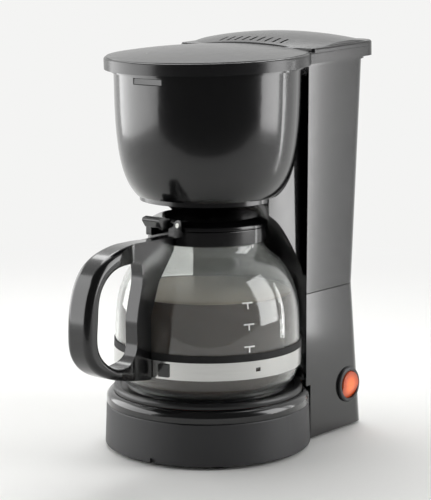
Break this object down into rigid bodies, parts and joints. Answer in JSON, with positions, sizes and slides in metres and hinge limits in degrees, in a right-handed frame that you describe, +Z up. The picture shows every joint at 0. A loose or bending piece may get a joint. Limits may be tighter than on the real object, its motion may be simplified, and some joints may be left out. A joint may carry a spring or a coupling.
{
  "type": "drip coffee maker",
  "caption": "Compact drip coffee maker: round base with a warming plate, water tower, tapered brew bucket under a crowned hinged lid, and a glass carafe with a loop handle.",
  "frame": {"origin": "on the floor, on the vertical axis of the warming plate, carafe and brew bucket", "axes": "+Z up; the carafe handle points to -Y, the water tower is at +Y and the power switch faces +X"},
  "size_m": [0.1304, 0.2325, 0.2581],
  "materials": {
    "gloss_black": "polished",
    "satin_black": "fine texture",
    "lid_black": "satin gloss",
    "inner_plastic": "moulded",
    "foot_rubber": "matte",
    "silicone": "translucent matte",
    "red_silicone": "matte",
    "coated_plate": "non-stick coat",
    "cast_aluminium": "as cast",
    "steel": "brushed",
    "plated_steel": "zinc plated",
    "brass_tab": "bare",
    "glass": "clear",
    "amber": "clear tinted",
    "clear_tube": "translucent"
  },
  "bodies": {
    "machine": {"base_skirt": "satin_black", "base_deck": "gloss_black", "lower_tower": "gloss_black", "bottom_cover": "inner_plastic", "rubber_feet": "foot_rubber", "bottom_screws": "plated_steel", "warming_plate": "coated_plate", "plate_seal": "red_silicone", "heater_element": "cast_aluminium", "heater_terminals": "brass_tab", "heater_strap": "plated_steel", "strap_screws": "plated_steel", "thermostat": "plated_steel", "thermal_fuse": "silicone", "inlet_hose": "silicone", "outlet_hose": "silicone", "riser_tube": "clear_tube", "riser_grommet": "red_silicone", "check_valve_body": "clear_tube", "reservoir": "gloss_black", "brew_neck": "gloss_black", "brew_bucket": "gloss_black", "top_frame": "gloss_black", "lid_hinge_pin": "plated_steel", "rocker_pin": "plated_steel", "switch_bezel": "satin_black", "switch_body": "satin_black", "cord_gland": "foot_rubber"},
    "check_ball": {"check_valve_ball": "plated_steel"},
    "lid": {"lid": "lid_black", "lid_spreader": "inner_plastic"},
    "basket": {"filter_basket": "inner_plastic", "valve_cage": "inner_plastic", "valve_spring": "steel"},
    "drip_valve": {"valve_stem": "inner_plastic", "valve_seal": "red_silicone"},
    "rocker": {"switch_rocker": "amber"},
    "carafe": {"carafe_glass": "glass", "carafe_collar": "gloss_black", "carafe_handle": "gloss_black", "carafe_band": "steel", "band_cushion": "foot_rubber", "band_clip": "gloss_black", "band_screw": "plated_steel", "carafe_lid_pin": "plated_steel"},
    "carafe_lid": {"carafe_lid": "gloss_black"}
  },
  "joints": [
    {"name": "lid_hinge", "type": "hinge", "parent": "machine", "child": "lid", "pos_m": [0, 0.10778, 0.2445], "axis": [-1, 0, 0], "range_deg": [0, 100]},
    {"name": "power_rocker", "type": "hinge", "parent": "machine", "child": "rocker", "pos_m": [0.04918, 0.085, 0.02901], "axis": [0, 1, 0], "range_deg": [-16, 0]},
    {"name": "carafe_pull", "type": "slide", "parent": "machine", "child": "carafe", "axis": [0, -1, 0], "range_m": [0, 0.17]},
    {"name": "carafe_lid_hinge", "type": "hinge", "parent": "carafe", "child": "carafe_lid", "pos_m": [0, -0.043, 0.146], "axis": [1, 0, 0], "range_deg": [0, 7]},
    {"name": "basket_lift", "type": "slide", "parent": "machine", "child": "basket", "axis": [0, 0, 1], "range_m": [0, 0.01]},
    {"name": "drip_valve_lift", "type": "slide", "parent": "basket", "child": "drip_valve", "axis": [0, 0, 1], "range_m": [0, 0.003], "stiffness_N_per_m": 150, "springref_m": -0.004, "deforming": ["valve_spring"]},
    {"name": "check_ball_lift", "type": "slide", "parent": "machine", "child": "check_ball", "axis": [0, 0, 1], "range_m": [0, 0.0015]}
  ]
}
